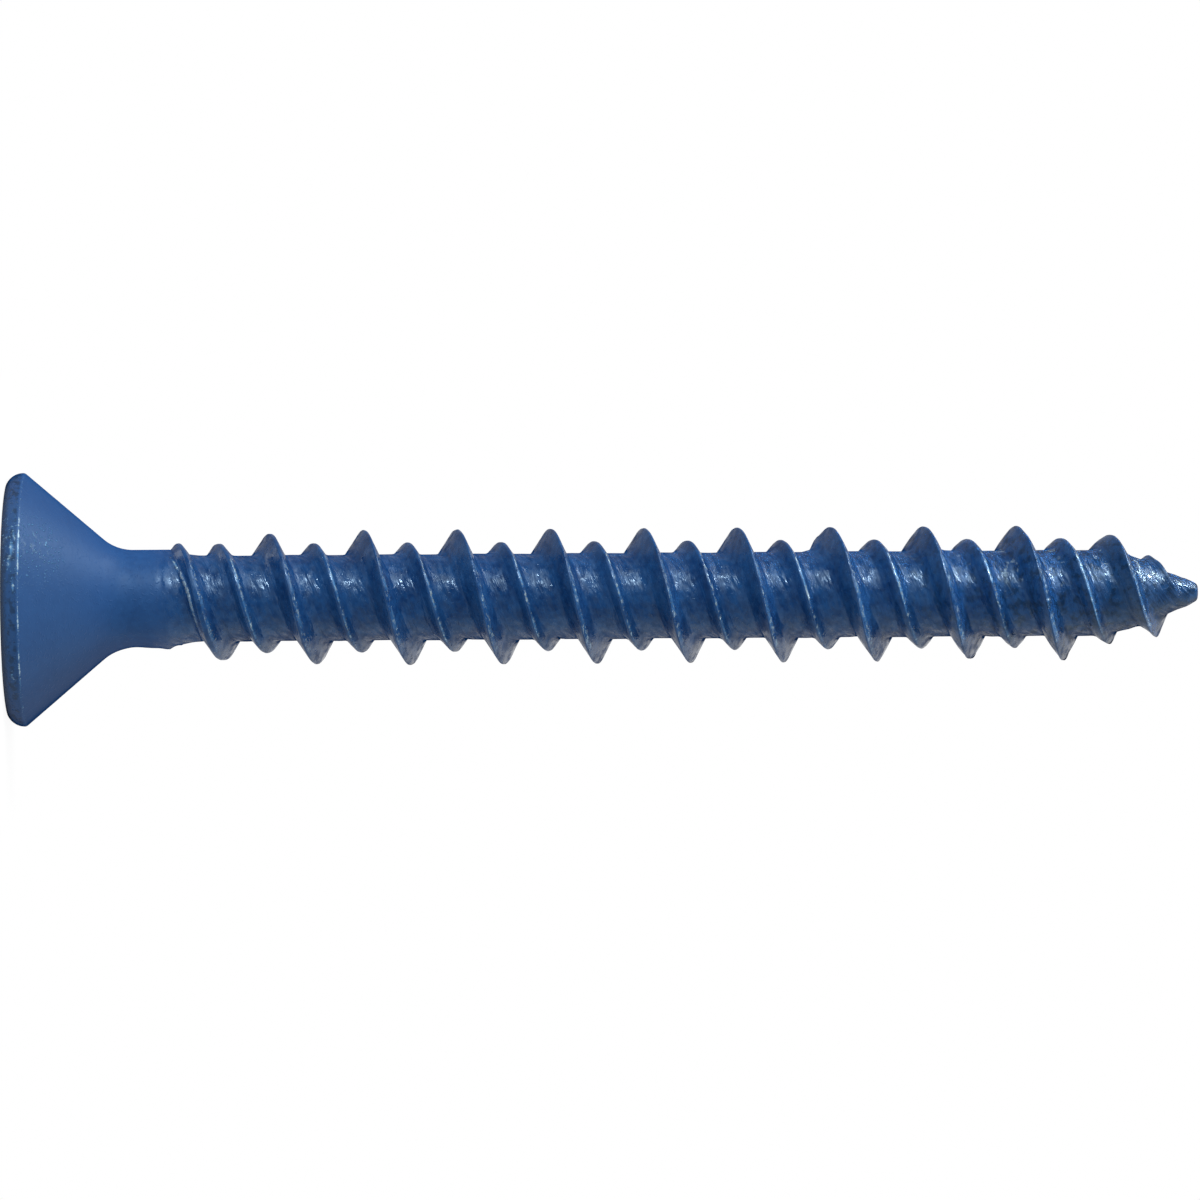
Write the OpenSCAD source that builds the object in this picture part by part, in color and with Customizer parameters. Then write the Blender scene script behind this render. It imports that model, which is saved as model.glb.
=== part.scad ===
// Flat-head concrete screw with a high and a low thread, standing on its head.
// Sizes are in millimetres, and the tip points up the Z axis.

/* [Overall] */
// Length from the flat of the head to the end of the tip
length = 57.15; // [44:0.05:100]

/* [Head] */
// Largest diameter of the head
head_d = 12.18; // [11.6:0.01:13]
// Diameter of the flat on top of the head
flat_d = 11.29; // [10:0.01:11.5]
// Height of the rounded rim, from the flat to the widest place
rim_h = 0.75; // [0.3:0.01:1.2]
// Radius of the corner between the rim and the countersink
corner_r = 0.2; // [0.05:0.01:0.4]
// Angle of the countersink, measured across the head
head_angle = 81; // [76:0.5:90]
// Radius of the fillet between the countersink and the neck
fillet_r = 2.2; // [0.5:0.05:3]

/* [Cross recess] */
// Span of the four wings at the flat
recess_span = 6.9; // [5.4:0.05:7.2]
// Depth of the wings
recess_depth = 3.1; // [2:0.05:3.4]
// Slope of the ends of the wings
wing_slope = 26.5; // [15:0.5:28]
// Width of a wing at the flat
wing_top_w = 1.4; // [1.1:0.02:1.7]
// Width of a wing at its floor
wing_floor_w = 0.86; // [0.5:0.02:1]
// Width across the middle of the recess at the flat
middle_top_w = 3.3; // [2.6:0.05:3.8]
// Width across the middle of the recess at its floor
middle_floor_w = 2.4; // [1.6:0.05:2.6]
// Angle of the pointed floor, measured across it
floor_angle = 146; // [120:1:170]

/* [Neck] */
// Diameter of the plain neck
neck_d = 4.73; // [4.5:0.01:5]
// Length of the plain neck past the fillet
neck_l = 1.75; // [0.5:0.05:6]
// Length of the taper from the neck to the root of the thread
taper_l = 1.4; // [0.6:0.05:2]

/* [Thread] */
// Diameter at the root
root_d = 4.13; // [3.8:0.01:4.4]
// Travel of each thread in one turn
lead = 4.484; // [3.8:0.002:5.4]
// Diameter of the high thread
high_d = 6.46; // [6:0.01:6.8]
// Reach of the high thread's flank toward the head
high_head_w = 0.64; // [0.4:0.01:0.9]
// Reach of the high thread's flank toward the tip
high_tip_w = 0.42; // [0.3:0.01:0.8]
// Width of the high thread's crest
high_crest_w = 0.14; // [0.08:0.01:0.3]
// Diameter of the low thread
low_d = 5.24; // [4.8:0.01:5.6]
// Reach of the low thread's flank toward the head
low_head_w = 0.52; // [0.3:0.01:0.7]
// Reach of the low thread's flank toward the tip
low_tip_w = 0.42; // [0.3:0.01:0.7]
// Width of the low thread's crest
low_crest_w = 0.14; // [0.08:0.01:0.3]
// Place of the low thread between two turns of the high one, as a share of the lead
low_share = 0.466; // [0.4:0.002:0.6]
// Angle at which the high thread leaves the neck
start_angle = 154; // [0:1:359]
// Length over which the high thread grows to its full height
high_grow_l = 9; // [1:0.5:14]
// Length over which the low thread grows to its full height
low_grow_l = 1.6; // [0.5:0.1:6]

/* [Tip] */
// Angle of the tip, measured across it
tip_angle = 46; // [36:0.5:52]
// Diameter of the blunt end
tip_d = 0.8; // [0.4:0.02:1.4]
// Radius of the corner round the blunt end
tip_corner_r = 0.25; // [0.05:0.01:0.26]
// Radius of the shoulder that runs the root into the tip
shoulder_r = 7; // [1:0.5:9]
// Distance from the end of the high thread to the end of the tip
high_end = 0.6; // [0.4:0.05:2]
// Distance from the end of the low thread to the end of the tip
low_end = 0.95; // [0.4:0.05:2]
// Height of the high thread over the tip's cone
high_tip_h = 0.8; // [0.4:0.02:1.1]
// Height of the low thread over the tip's cone
low_tip_h = 0.46; // [0.2:0.02:0.6]
// Length over which both threads come down to their height on the tip
blend_l = 2; // [0.5:0.1:5]
// Length over which both threads sink into the tip
fade_l = 1.4; // [0.6:0.1:3]

/* [Hidden] */
screw_colour = [0.10, 0.22, 0.42];
arc_steps = 12;
turn_steps = 36;
$fn = 96;
// Depth to which a thread's foot is sunk in the root
sink = 0.12;
// Distance by which cutting shapes stand out of the head
over = 0.5;
// A thread rises fast and then slowly, and its width changes less than its height
grow_power = 0.22;
fade_power = 0.5;
width_power = 0.25;
crest_drop = 0.96;
least_share = 0.02;
foot_share = 0.3;
head_r = head_d / 2;
flat_r = flat_d / 2;
neck_r = neck_d / 2;
root_r = root_d / 2;
tip_r = tip_d / 2;
cone = head_angle / 2;
point = tip_angle / 2;
// The rim is an arc that stands upright at the widest place of the head
rim_step = head_r - flat_r;
rim_r = (rim_step * rim_step + rim_h * rim_h) / (2 * rim_step);
rim_start = -asin(rim_h / rim_r);
// The fillet touches the countersink here and the neck at neck_z
touch_r = neck_r + fillet_r * (1 - cos(cone));
corner_end = [head_r - corner_r * (1 - cos(cone)), rim_h + corner_r * sin(cone)];
touch_z = corner_end[1] + (corner_end[0] - touch_r) / tan(cone);
neck_z = touch_z + fillet_r * sin(cone);
thread_z = neck_z + neck_l;
// The shoulder leaves the root at shoulder_z and meets the tip's cone at cone_z
cone_r = root_r - shoulder_r * (1 - cos(point));
cone_z = length - (cone_r - tip_r) / tan(point);
shoulder_z = cone_z - shoulder_r * sin(point);
tip_corner_x = tip_r - tip_corner_r * tan(45 - point / 2);

function arc(centre, radius, from, to) = [
  for (i = [0 : arc_steps])
    let (a = from + (to - from) * i / arc_steps)
      centre + radius * [cos(a), sin(a)]
];

// Radius of the root at a height, through the shoulder and the tip
function core_r(z) =
  z < shoulder_z ? root_r
  : z < cone_z ? root_r - shoulder_r + sqrt(shoulder_r * shoulder_r - pow(z - shoulder_z, 2))
  : max(tip_r, tip_r + (length - z) * tan(point));

function part_of(x, whole) = max(0, min(1, x / whole));

// Height of a thread over the root at a height on the screw
function rise(z, full_h, tip_h, grow_l, end_z) =
  let (down = part_of(z - shoulder_z + blend_l / 2, blend_l))
  let (grown = pow(part_of(z - thread_z, grow_l), grow_power))
  let (left = pow(part_of(end_z - z, fade_l), fade_power))
    (full_h + (tip_h - full_h) * down) * grown * left - sink / 2 * (1 - left);

// Section of a thread at one angle, from its head side over the crest to its tip side
function section(a, z, h, full_h, head_w, tip_w, crest_w) =
  let (share = max(least_share, h / full_h))
  let (wide = pow(share, width_power))
  let (foot = 1 + sink / (full_h * max(share, foot_share)))
  let (crest = crest_w * wide / 2)
  let (head_z = z - crest - head_w * foot * wide)
  let (tip_z = z + crest + tip_w * foot * wide)
  let (edge = h - full_h * share * (1 - crest_drop))
  [
    for (p = [
      [core_r(head_z) - sink, head_z],
      [core_r(z) + edge, z - crest],
      [core_r(z) + h, z],
      [core_r(z) + edge, z + crest],
      [core_r(tip_z) - sink, tip_z]
    ])
      [p[0] * cos(a), p[0] * sin(a), p[1]]
  ];

module thread(angle, crest_d, head_w, tip_w, crest_w, grow_l, tip_h, end) {
  full_h = crest_d / 2 - root_r;
  end_z = length - end;
  run = end_z - thread_z;
  steps = ceil(run / lead * turn_steps);
  rings = [
    for (i = [0 : steps])
      let (z = thread_z + run * i / steps)
      let (h = rise(z, full_h, tip_h, grow_l, end_z))
        section(angle + 360 * (z - thread_z) / lead, z, h, full_h, head_w, tip_w, crest_w)
  ];
  corners = len(rings[0]);
  points = [for (ring = rings) each ring];
  sides = [
    for (i = [0 : steps - 1])
      for (k = [0 : corners - 1])
        let (a = i * corners + k)
        let (b = i * corners + (k + 1) % corners)
          each [[a, b, b + corners], [a, b + corners, a + corners]]
  ];
  last = steps * corners;
  first_cap = [for (k = [1 : corners - 2]) [0, k + 1, k]];
  last_cap = [for (k = [1 : corners - 2]) [last, last + k, last + k + 1]];
  polyhedron(points, concat(sides, first_cap, last_cap), convexity = 20);
}

module body() {
  rotate_extrude()
    polygon(concat(
      [[0, 0]],
      arc([head_r - rim_r, rim_h], rim_r, rim_start, 0),
      arc([head_r - corner_r, rim_h], corner_r, 0, cone),
      arc([neck_r + fillet_r, neck_z], fillet_r, 180 + cone, 180),
      [[neck_r, thread_z]],
      [[root_r, thread_z + taper_l]],
      arc([root_r - shoulder_r, shoulder_z], shoulder_r, 0, point),
      arc([tip_corner_x, length - tip_corner_r], tip_corner_r, point, 90),
      [[0, length]]
    ));
}

// A tapered bar, as wide as one pair of wings
module bar(top_w, floor_w) {
  rotate([90, 0, 90])
    linear_extrude(height = 2 * recess_span, center = true)
      polygon([
        [-top_w / 2 - over * (top_w - floor_w) / (2 * recess_depth), -over],
        [top_w / 2 + over * (top_w - floor_w) / (2 * recess_depth), -over],
        [floor_w / 2, recess_depth],
        [floor_w / 2, recess_depth + over],
        [-floor_w / 2, recess_depth + over],
        [-floor_w / 2, recess_depth]
      ]);
}

module recess() {
  floor_r = recess_span / 2 - recess_depth * tan(wing_slope);
  intersection() {
    union() {
      bar(wing_top_w, wing_floor_w);
      rotate([0, 0, 90])
        bar(wing_top_w, wing_floor_w);
      intersection() {
        rotate([0, 0, 45])
          bar(middle_top_w, middle_floor_w);
        rotate([0, 0, -45])
          bar(middle_top_w, middle_floor_w);
      }
    }
    rotate_extrude()
      polygon([
        [0, -over],
        [recess_span / 2 + over * tan(wing_slope), -over],
        [floor_r, recess_depth],
        [0, recess_depth + floor_r / tan(floor_angle / 2)]
      ]);
  }
}

module screw() {
  color(screw_colour)
    difference() {
      union() {
        body();
        thread(start_angle, high_d, high_head_w, high_tip_w, high_crest_w, high_grow_l, high_tip_h, high_end);
        thread(start_angle - 360 * low_share, low_d, low_head_w, low_tip_w, low_crest_w, low_grow_l,
          low_tip_h, low_end);
      }
      recess();
    }
}

screw();
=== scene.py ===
# %% [markdown]
# A concrete screw, from its head to its tip.
#
# The real one starts as a piece of steel wire. The head is pressed on cold, two
# flat dies roll a high and a low thread into the shank, and the finished screw
# is dipped in a blue coating. Here the threads are swept first, because the rest
# is fitted to them: the tip is closed, the head is turned and joined on, and the
# coat comes last.
#
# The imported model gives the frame. The screw stands on its head at the origin
# and its tip points up the Z axis.

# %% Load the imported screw
import math

import bmesh
import bpy
from mathutils import Matrix, Vector, noise


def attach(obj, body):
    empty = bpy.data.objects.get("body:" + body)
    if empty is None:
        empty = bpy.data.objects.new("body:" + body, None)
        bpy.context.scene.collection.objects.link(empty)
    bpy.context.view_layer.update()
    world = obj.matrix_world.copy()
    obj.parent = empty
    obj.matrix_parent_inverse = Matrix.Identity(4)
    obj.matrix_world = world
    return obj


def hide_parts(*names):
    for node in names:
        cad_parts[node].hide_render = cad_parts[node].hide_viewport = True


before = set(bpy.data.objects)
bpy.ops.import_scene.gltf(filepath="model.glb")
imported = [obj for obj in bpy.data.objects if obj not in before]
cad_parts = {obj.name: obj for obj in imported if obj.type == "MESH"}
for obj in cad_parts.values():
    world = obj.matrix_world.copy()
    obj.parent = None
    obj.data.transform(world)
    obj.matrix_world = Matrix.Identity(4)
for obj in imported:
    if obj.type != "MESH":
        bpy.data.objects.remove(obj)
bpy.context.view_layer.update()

# %% [markdown]
# Sizes first. A screw is easier to think about in millimetres, so the mesh is
# built in millimetres and scaled to metres once, at the end. The values are the
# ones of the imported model, so that both describe the same screw.

# %% Sizes of the screw, in millimetres
LENGTH = 57.15
HEAD_R = 6.09
FLAT_R = 5.645
RIM_H = 0.75
CORNER_R = 0.2
CONE = math.radians(40.5)
FILLET_R = 2.2
NECK_R = 2.365
NECK_L = 1.75
TAPER_L = 1.4
ROOT_R = 2.065
LEAD = 4.484
HIGH_R = 3.23
LOW_R = 2.62
LOW_SHARE = 0.466
START_ANGLE = math.radians(154)
HIGH_GROW_L = 9.0
POINT = math.radians(23)
TIP_R = 0.4
TIP_CORNER_R = 0.25
SHOULDER_R = 7.0
HIGH_END_Z = LENGTH - 0.6
LOW_END_Z = LENGTH - 0.95
HIGH_TIP_H = 0.8
LOW_TIP_H = 0.46
BLEND_L = 2.0
FADE_L = 1.4

RIM_STEP = HEAD_R - FLAT_R
RIM_R = (RIM_STEP ** 2 + RIM_H ** 2) / (2 * RIM_STEP)
TOUCH_R = NECK_R + FILLET_R * (1 - math.cos(CONE))
CORNER_END_R = HEAD_R - CORNER_R * (1 - math.cos(CONE))
CORNER_END_Z = RIM_H + CORNER_R * math.sin(CONE)
TOUCH_Z = CORNER_END_Z + (CORNER_END_R - TOUCH_R) / math.tan(CONE)
NECK_Z = TOUCH_Z + FILLET_R * math.sin(CONE)
THREAD_Z = NECK_Z + NECK_L
CONE_R = ROOT_R - SHOULDER_R * (1 - math.cos(POINT))
CONE_Z = LENGTH - (CONE_R - TIP_R) / math.tan(POINT)
SHOULDER_Z = CONE_Z - SHOULDER_R * math.sin(POINT)
print(f"neck from {NECK_Z:.2f}, threads from {THREAD_Z:.2f} mm")
print(f"shoulder at {SHOULDER_Z:.2f}, cone at {CONE_Z:.2f} mm")

# %% [markdown]
# The threads. A thread looks like a pile of rings, but it is one ridge that
# climbs as it goes round. Spin does that: it turns a section about an axis, and
# its `dvec` lifts each step a little. One lead of the section is enough, with a
# high ridge, a low ridge and the root between them, because each turn ends where
# the next begins. Merging the doubles welds the turns together.
#
# The section is only ten corners. Each crest is a narrow flat, because rolling
# dies don't fill quite to a point, and the flank toward the tip is the steeper
# one. The crests start a little too high, since rounding takes that off again.

# %% Sweep one lead of the section along the helix
TURN_STEPS = 132
TURNS = 12
START_TURNS = 1
LOW_U = LOW_SHARE * LEAD
HIGH_FEET = (-0.74, 0.54)
HIGH_CREST = (-0.025, 0.08)
LOW_FEET = (LOW_U - 0.50, LOW_U + 0.47)
LOW_CREST = (LOW_U - 0.03, LOW_U + 0.11)
CREST_SPARE = 0.015
HIGH_TOP_R = HIGH_R + CREST_SPARE
LOW_TOP_R = LOW_R + CREST_SPARE
SEAM_U = -1.32
WELD = 0.002

section = [
    (SEAM_U, ROOT_R),
    (HIGH_FEET[0], ROOT_R),
    (HIGH_CREST[0], HIGH_TOP_R),
    (HIGH_CREST[1], HIGH_TOP_R),
    (HIGH_FEET[1], ROOT_R),
    (LOW_FEET[0], ROOT_R),
    (LOW_CREST[0], LOW_TOP_R),
    (LOW_CREST[1], LOW_TOP_R),
    (LOW_FEET[1], ROOT_R),
    (SEAM_U + LEAD, ROOT_R),
]


def add_wire(bm, points, angle=0.0):
    """A chain of edges through (radius, height) points in the half-plane at an angle."""
    verts = [bm.verts.new((r * math.cos(angle), r * math.sin(angle), z)) for r, z in points]
    edges = [bm.edges.new(pair) for pair in zip(verts, verts[1:])]
    return verts + edges


bm = bmesh.new()
first_z = THREAD_Z - START_TURNS * LEAD
all_turns = TURNS + START_TURNS
wire = add_wire(bm, [(r, first_z + u) for u, r in section], START_ANGLE)
bmesh.ops.spin(
    bm, geom=wire, cent=(0, 0, 0), axis=(0, 0, 1), dvec=(0, 0, LEAD / TURN_STEPS),
    angle=2 * math.pi * all_turns, steps=TURN_STEPS * all_turns, use_merge=False,
)
bmesh.ops.remove_doubles(bm, verts=bm.verts, dist=WELD)
print("swept threads:", len(bm.faces), "faces")

# %% [markdown]
# Rolled steel has no sharp corners. The crests are rounded with one bevel and
# the feet of the ridges get a fillet with another. To pick an edge, its place in
# the section is worked out: `along` is the distance from the high crest, measured
# along the axis, whatever turn the point is on.

# %% Round the crests and fillet the feet
CREST_BEVEL = 0.045
FOOT_BEVEL = 0.19
BEVEL_STEPS = 3
NEAR_U = 0.01
LEAST_SWEEP = 0.12


def along(co):
    """Distance along the axis from the nearest high crest, toward the tip."""
    turn = (math.atan2(co.y, co.x) - START_ANGLE) / (2 * math.pi)
    u = co.z - THREAD_Z - turn * LEAD
    return (u - SEAM_U) % LEAD + SEAM_U


def climbs(edge):
    """True if an edge runs along the helix and not across a ridge."""
    a, b = (v.co for v in edge.verts)
    return abs(a.x * b.y - a.y * b.x) > LEAST_SWEEP


def helix_edges(u):
    """Edges that run along the helix at one place in the section."""
    return [e for e in bm.edges if climbs(e) and all(abs(along(v.co) - u) < NEAR_U for v in e.verts)]


def round_off(u_places, offset):
    """Bevel the edges at some places in the section, and return their number."""
    edges = [e for u in u_places for e in helix_edges(u)]
    bmesh.ops.bevel(
        bm, geom=edges, offset=offset, offset_type="OFFSET", segments=BEVEL_STEPS, profile=0.5,
        affect="EDGES", clamp_overlap=True, material=-1,
    )
    return len(edges)


print("crest edges:", round_off(HIGH_CREST + LOW_CREST, CREST_BEVEL))
print("foot edges:", round_off(HIGH_FEET + LOW_FEET, FOOT_BEVEL))

# %% [markdown]
# The wide strips, on the flanks and in the root, need a few rows of vertices so
# that dents and the uneven coat have something to move. Subdividing the edges
# that lie across a strip adds those rows. The flank where the high thread starts
# gets more, for the lip that comes there later. Then two planes cut the swept
# piece to length: one through the plain neck and one just short of the tip.

# %% Add rows to the wide strips and cut the piece to length
ROW_W = 0.26
LIP_FLANK_U = (-0.75, -0.05)
LIP_FLANK_Z = (THREAD_Z - 0.5, THREAD_Z + 2.6)
LIP_CUTS = 2
CUT_LOW_Z = THREAD_Z - 0.15
CUT_HIGH_Z = LENGTH - TIP_CORNER_R * (1 - math.sin(POINT))


def on_lip_flank(co):
    """True on the flank toward the head, over the first half turn of the high ridge."""
    return LIP_FLANK_U[0] < along(co) < LIP_FLANK_U[1] and LIP_FLANK_Z[0] < co.z < LIP_FLANK_Z[1]


for cuts in (4, 3, 2, 1):
    wide = [e for e in bm.edges if not climbs(e) and e.calc_length() > ROW_W * (cuts + 0.5)]
    bmesh.ops.subdivide_edges(bm, edges=wide, cuts=cuts, use_grid_fill=True)
first_flank = [e for e in bm.edges if not climbs(e) and all(on_lip_flank(v.co) for v in e.verts)]
bmesh.ops.subdivide_edges(bm, edges=first_flank, cuts=LIP_CUTS, use_grid_fill=True)
for z, keep_above in ((CUT_LOW_Z, True), (CUT_HIGH_Z, False)):
    bmesh.ops.bisect_plane(
        bm, geom=bm.verts[:] + bm.edges[:] + bm.faces[:], dist=1e-5, plane_co=(0, 0, z),
        plane_no=(0, 0, 1), clear_inner=keep_above, clear_outer=not keep_above,
    )
print("threads cut to length:", len(bm.faces), "faces")

# %% [markdown]
# So far the ridges are the same all along. On the real screw they grow out of the
# neck, where the dies end, reach their full height after two turns, and come down
# again over the tip. Two functions say how: one gives the radius of the core at a
# height, and the other the share of its full height that a ridge has there.

# %% Describe the core and the growth of the ridges
GROW_POWER = 0.22
TAPER_POWER = 0.65
FADE_POWER = 0.5
LOW_START_Z = THREAD_Z + 0.45
LOW_GROW_L = 1.2


def share_of(x, whole):
    return max(0.0, min(1.0, x / whole))


def core_r(z):
    """Radius of the screw without its ridges."""
    if z < THREAD_Z + TAPER_L:
        return NECK_R + (ROOT_R - NECK_R) * share_of(z - THREAD_Z, TAPER_L) ** TAPER_POWER
    if z < SHOULDER_Z:
        return ROOT_R
    if z < CONE_Z:
        return ROOT_R - SHOULDER_R + math.sqrt(SHOULDER_R ** 2 - (z - SHOULDER_Z) ** 2)
    return TIP_R + (LENGTH - z) * math.tan(POINT)


def ridge_scale(z, high):
    """Height of a ridge at a place on the screw, as a share of its full height."""
    full_h = (HIGH_R if high else LOW_R) - ROOT_R
    tip_h = HIGH_TIP_H if high else LOW_TIP_H
    start_z, grow_l = (THREAD_Z, HIGH_GROW_L) if high else (LOW_START_Z, LOW_GROW_L)
    end_z = HIGH_END_Z if high else LOW_END_Z
    down = share_of(z - SHOULDER_Z + BLEND_L / 2, BLEND_L)
    grown = share_of(z - start_z, grow_l) ** GROW_POWER
    left = share_of(end_z - z, FADE_L) ** FADE_POWER
    return (full_h + (tip_h - full_h) * down) / full_h * grown * left


print("high ridge at 10, 30 and 55 mm:", [round(ridge_scale(z, True), 2) for z in (10, 30, 55)])

# %% [markdown]
# The ridges also change their form on the way. They are wider where they start,
# fuller on the flanks from the middle on, and narrower at the tip, and their
# crests lean a little on one side of the screw. All of that is one shift along the
# axis for each point of a ridge. A second function says how worn a point is and
# how much painted highlight it carries: a pale line on the edge of each crest that
# faces the tip, part wear and part painted highlight, strongest on the side where
# the light falls.

# %% Describe the lean, and the wear and painted highlight of the ridges
WIDE_START = 0.13
LOW_NARROW = 0.09
START_L = 2.0
WIDE_START_L = 6.0
CREST_LEAN = 0.06
LOW_LEAN = 0.045
LEAN_L = 2.0
TIP_SHIFT = 0.08
FULL_FLANK = 0.07
FULL_Z = 38.0
POINTED = 0.025
POINTED_Z = 43.0
FORM_L = 4.0
TIP_SIDE = 0.7
FORM_END_Z = SHOULDER_Z + 2.0
FULL_END_Z = SHOULDER_Z + 2.6
END_NARROW = 0.5
END_Z = (53.7, 51.8)
END_FADE = 0.5
# The crest line is wear and painted highlight: its strength follows the angles where the light falls.
LINE_WEAR_AND_HIGHLIGHT = (1.0, 0.78)
LINE_WEAR_AND_HIGHLIGHT_U = (0.17, 0.15)
LINE_WEAR_AND_HIGHLIGHT_W = 0.060
UNLIT_LINE_SHARE = 0.4
LIT_FROM = (44, 32)
LIT_FROM_L = 16
LIT_TO = 165
LIT_TO_L = 30
LIT_DROP = (0.15, 0.3)
LIT_DROP_FROM = 80
LIT_DROP_L = 25


def fade(distance, reach):
    """A soft bump: 1 at its middle, nearly 0 at twice its reach."""
    return math.exp(-(distance / reach) ** 2)


def round_angle(co):
    """Angle round the axis: 0 on the side of -X and 90 degrees on the side of -Y."""
    return math.atan2(-co.y, -co.x)


def side_shift(u, z, share, below, high):
    """How far a point of a ridge moves along the axis, toward the tip.

    `share` is its height as a share of the ridge, and `below` goes from 0 on the
    side of -X to 1 on the side of +X.
    """
    middle = sum(HIGH_CREST if high else LOW_CREST) / 2
    on_thread = share_of(z - THREAD_Z, TAPER_L)
    at_start = on_thread * (1 - share_of(z - THREAD_Z - START_L, WIDE_START_L))
    before_tip = share_of(FORM_END_Z - z, 1)
    bulge = FULL_FLANK * 4 * share * (1 - share) * share_of(z - FULL_Z, FORM_L) * share_of(FULL_END_Z - z, 1)
    sharper = POINTED * share * share_of(z - POINTED_Z, FORM_L) * before_tip * below
    shift = TIP_SHIFT * share * share_of(z - SHOULDER_Z + 1, 2) * before_tip
    if u < middle:
        shift += sharper - bulge - WIDE_START * share * at_start
        if not high:
            shift += LOW_LEAN * share * on_thread * below * before_tip
    else:
        shift += TIP_SIDE * (bulge - sharper)
        if high:
            lean = share_of(z - THREAD_Z - START_L, LEAN_L) * share_of(FORM_END_Z - z, LEAN_L)
            shift -= CREST_LEAN * share * lean * below
        else:
            shift -= LOW_NARROW * share * at_start
    off = u - middle
    at_end = share_of(z - END_Z[not high], 1) * share_of(CUT_HIGH_Z - z, END_FADE)
    return shift - END_NARROW * off * max(0.0, 1 - abs(off)) * at_end


def wear_and_highlight_at(u, angle, high):
    """Wear and painted highlight of a point on a ridge, strongest over the lit angles, where `angle` is in
    degrees and the same on front and back.
    """
    i = 0 if high else 1
    crest_u = HIGH_CREST if high else LOW_CREST
    strong = share_of(angle - LIT_FROM[i], LIT_FROM_L) * share_of(LIT_TO - angle, LIT_TO_L)
    strong *= 1 - LIT_DROP[i] * share_of(angle - LIT_DROP_FROM, LIT_DROP_L)
    line = fade(u - crest_u[0] - LINE_WEAR_AND_HIGHLIGHT_U[i], LINE_WEAR_AND_HIGHLIGHT_W)
    return line * LINE_WEAR_AND_HIGHLIGHT[i] * (UNLIT_LINE_SHARE + (1 - UNLIT_LINE_SHARE) * strong)


print("wear on the high crest at 20 and 90 degrees:",
      [round(wear_and_highlight_at(HIGH_CREST[0] + LINE_WEAR_AND_HIGHLIGHT_U[0], a, True), 2) for a in (20, 90)])

# %% [markdown]
# Now one loop can shape the threads. Each vertex knows its height over the root, so
# the root under it is replaced by the true core at that place, its height is
# scaled, and it is shifted. Two numbers stay with the vertex as attributes, for the
# coat: `crest`, its share of the ridge's height, and its wear with painted
# highlight, the pale crest line that is strongest where the light falls.

# %% Let the threads grow from the neck and fade over the tip
ROOT_WAVE = 0.010
WAVE_U = 0.95
FOOT_MARGIN = 0.2
STANDS_H = 0.25
TOP_SHARE = 0.95


def set_radius(vert, radius):
    flat = Vector((vert.co.x, vert.co.y)).normalized() * radius
    vert.co.x, vert.co.y = flat


crest = bm.verts.layers.float.new("crest")
wear_and_highlight = bm.verts.layers.float.new("wear_and_highlight")
for v in bm.verts:
    u, z = along(v.co), v.co.z
    high = HIGH_FEET[0] - FOOT_MARGIN < u < HIGH_FEET[1] + FOOT_MARGIN
    full_h = (HIGH_R if high else LOW_R) - ROOT_R
    height = max(0.0, math.hypot(v.co.x, v.co.y) - ROOT_R)
    share = min(1.0, height / full_h)
    scaled = height * ridge_scale(z, high)
    on_thread = share_of(z - THREAD_Z, TAPER_L)
    wave = ROOT_WAVE * math.cos(2 * math.pi * (u - WAVE_U) / LEAD) * on_thread
    if z < SHOULDER_Z - BLEND_L:
        radius = max(core_r(z), ROOT_R + scaled) + wave
    else:
        radius = core_r(z) + scaled + wave
    stands = share_of(radius - core_r(z), STANDS_H)
    angle = round_angle(v.co)
    below = (1 - math.cos(angle)) / 2
    v[crest] = share * stands
    # Wear and painted highlight on the crest line.
    v[wear_and_highlight] = wear_and_highlight_at(u, abs(math.degrees(angle)), high) * stands
    set_radius(v, radius)
    v.co.z += side_shift(u, z, share, below, high)
print("threads shaped, crest vertices:", sum(v[crest] > TOP_SHARE for v in bm.verts))

# %% [markdown]
# The tip is blunt. Its open ring is closed by extruding the ring a few times round
# a small corner and then filling the hole that is left. Only the ring's edges are
# extruded, and each new ring is pulled to the next radius and height.

# %% Close the blunt tip
TIP_RINGS = 4
TIP_INNER = 0.5


def rim_edges(z):
    """Boundary edges that lie at a height."""
    return [e for e in bm.edges if e.is_boundary and all(abs(v.co.z - z) < 1e-3 for v in e.verts)]


def extrude_ring(edges, radius, z):
    """Pull a ring of edges out to a new radius and height, and return the new ring."""
    made = bmesh.ops.extrude_edge_only(bm, edges=edges)["geom"]
    for v in made:
        if isinstance(v, bmesh.types.BMVert):
            set_radius(v, radius)
            v.co.z = z
            v[crest] = v[wear_and_highlight] = 0.0
    return [e for e in made if isinstance(e, bmesh.types.BMEdge)]


tip_corner_x = TIP_R - TIP_CORNER_R * math.tan(math.pi / 4 - POINT / 2)
ring = rim_edges(CUT_HIGH_Z)
for i in range(1, TIP_RINGS + 1):
    a = POINT + (math.pi / 2 - POINT) * i / TIP_RINGS
    ring_z = LENGTH - TIP_CORNER_R * (1 - math.sin(a))
    ring = extrude_ring(ring, tip_corner_x + TIP_CORNER_R * math.cos(a), ring_z)
ring = extrude_ring(ring, tip_corner_x * TIP_INNER, LENGTH)
cap = bmesh.ops.edgeloop_fill(bm, edges=ring)["faces"]
bmesh.ops.poke(bm, faces=cap)
print("tip closed over a ring of", len(ring), "edges")

# %% [markdown]
# The head is a turned shape: a rounded rim, a countersink and a fillet that runs
# into the neck. Spinning its outline once round makes it. `use_merge` closes the
# seam. The neck's two rings have different numbers of vertices, which
# `bridge_loops` doesn't mind. The rim is pale along its corner and in a few spots,
# as wear and as painted highlight where the light falls. Beside the rim a patch of
# the coat has pale specks, partly a speckled coat and partly painted glints.

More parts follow.
